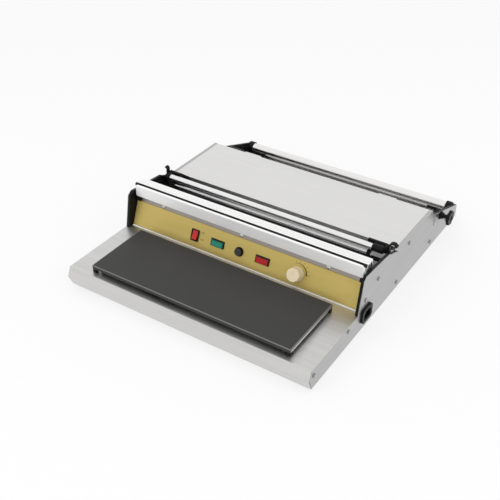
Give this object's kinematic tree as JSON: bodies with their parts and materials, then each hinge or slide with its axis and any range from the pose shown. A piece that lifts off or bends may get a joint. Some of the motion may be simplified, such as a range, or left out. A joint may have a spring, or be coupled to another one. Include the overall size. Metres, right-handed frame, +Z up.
{
  "type": "film wrapping and sealing machine",
  "caption": "Low benchtop film wrapper: front sealing plate, leaning control panel, heated cutter bar, guide rollers, lift-up deck and a rear film roll bay with spindle.",
  "frame": {"origin": "centre of the overall box in X and Y, at the level of the surface the feet stand on", "axes": "+X to the right seen by the user at the front, +Y to the back, +Z up"},
  "size_m": [0.5084, 0.585, 0.1252],
  "materials": {
    "stainless": "brushed",
    "zinc_steel": "dull zinc",
    "foot_rubber": "matt",
    "screw_steel": "bright",
    "plate_aluminium": "machined",
    "black_ptfe": "woven glass cloth coating",
    "black_moulding": "fine grain",
    "heater_steel": "heat tinted",
    "gold_panel": "satin gold anodised",
    "ivory_trim": "gloss",
    "polished_bar": "bright brushed",
    "seat_aluminium": "anodised",
    "polished_roller": "bright",
    "grip_rubber": "matt",
    "knob_black": "moulded",
    "sleeve_brass": "turned",
    "inlet_black": "moulded",
    "pin_brass": "bright",
    "red_key": "gloss",
    "green_lens": "gloss lens",
    "red_lens": "gloss lens",
    "ivory_knob": "semi gloss",
    "dial_print": "printed"
  },
  "bodies": {
    "frame": {"base_tray": "stainless", "bottom_pan": "zinc_steel", "rubber_feet": "foot_rubber", "foot_screws": "screw_steel", "hot_plate": "plate_aluminium", "ptfe_cover": "black_ptfe", "plate_frame": "black_moulding", "corner_clips": "black_moulding", "heater_tube": "heater_steel", "heater_clamps": "zinc_steel", "clamp_studs": "screw_steel", "heat_shield": "zinc_steel", "cheek_left": "black_moulding", "cheek_right": "black_moulding", "skin_left": "stainless", "skin_right": "stainless", "side_screws": "screw_steel", "panel_backing": "stainless", "control_panel": "gold_panel", "panel_lip": "ivory_trim", "panel_screws": "screw_steel", "panel_blocks": "black_moulding", "front_bar": "polished_bar", "cutter_seat": "seat_aluminium", "cutter_rod": "black_ptfe", "cutter_caps": "black_moulding", "grip_holders": "black_moulding", "film_lugs": "black_moulding", "hinge_leaves_fixed": "screw_steel", "rear_rail": "stainless", "partition": "zinc_steel", "rear_bushes": "black_moulding", "spindle_boss": "black_moulding", "core_stub": "screw_steel", "power_inlet": "inlet_black", "inlet_pins": "pin_brass", "rocker_housing": "inlet_black", "lamp_housings": "inlet_black", "lens_green": "green_lens", "lens_red": "red_lens", "fuse_holder": "inlet_black", "thermostat": "zinc_steel", "dial_ring": "dial_print"},
    "deck_lid": {"deck": "stainless", "deck_stiffeners": "zinc_steel", "hinge_leaves_deck": "screw_steel", "roller_block_left": "black_moulding", "roller_block_right": "black_moulding", "guide_rod": "polished_roller"},
    "guide_roller_body": {"guide_roller": "polished_roller"},
    "grip_roller_body": {"grip_roller": "grip_rubber"},
    "rear_roller_body": {"rear_roller": "polished_roller"},
    "spindle_carrier": {"spindle_sleeve": "sleeve_brass"},
    "spindle_wheel": {"star_knob": "knob_black"},
    "right_cone": {"core_cone_right": "black_moulding"},
    "left_cone": {"core_cone_left": "black_moulding"},
    "switch_key": {"rocker_key": "red_key"},
    "thermostat_dial": {"thermostat_knob": "ivory_knob"},
    "fuse_head": {"fuse_cap": "inlet_black"}
  },
  "joints": [
    {"name": "deck_lift", "type": "hinge", "parent": "frame", "child": "deck_lid", "pos_m": [0, 0.1592, 0.0865], "axis": [-1, 0, 0], "range_deg": [0, 75]},
    {"name": "guide_roller_spin", "type": "hinge", "parent": "deck_lid", "child": "guide_roller_body", "pos_m": [0, -0.023, 0.103], "axis": [1, 0, 0], "continuous": true},
    {"name": "grip_roller_spin", "type": "hinge", "parent": "frame", "child": "grip_roller_body", "pos_m": [0, -0.021, 0.0795], "axis": [1, 0, 0], "continuous": true},
    {"name": "rear_roller_spin", "type": "hinge", "parent": "frame", "child": "rear_roller_body", "pos_m": [0, 0.279, 0.0285], "axis": [1, 0, 0], "continuous": true},
    {"name": "spindle_feed", "type": "slide", "parent": "frame", "child": "spindle_carrier", "axis": [1, 0, 0], "range_m": [0, 0.006]},
    {"name": "star_knob_turn", "type": "hinge", "parent": "spindle_carrier", "child": "spindle_wheel", "pos_m": [0, 0.201, 0.057], "axis": [1, 0, 0], "range_deg": [0, 1080]},
    {"name": "right_cone_spin", "type": "hinge", "parent": "spindle_carrier", "child": "right_cone", "pos_m": [0, 0.201, 0.057], "axis": [1, 0, 0], "continuous": true},
    {"name": "left_cone_spin", "type": "hinge", "parent": "frame", "child": "left_cone", "pos_m": [0, 0.201, 0.057], "axis": [1, 0, 0], "continuous": true},
    {"name": "rocker_tilt", "type": "hinge", "parent": "frame", "child": "switch_key", "pos_m": [-0.10625, -0.112, 0.06547], "axis": [1, 0, 0], "range_deg": [0, 22]},
    {"name": "thermostat_turn", "type": "hinge", "parent": "frame", "child": "thermostat_dial", "pos_m": [0.10615, -0.11338, 0.06606], "axis": [0, -0.9198, 0.3923], "range_deg": [-135, 135]},
    {"name": "fuse_cap_turn", "type": "hinge", "parent": "frame", "child": "fuse_head", "pos_m": [-0.01125, -0.11338, 0.06606], "axis": [0, -0.9198, 0.3923], "range_deg": [0, 90]}
  ],
  "couplings": [
    {"joint": "star_knob_turn", "follows": "spindle_feed", "rad_per_m": 3141.5}
  ]
}
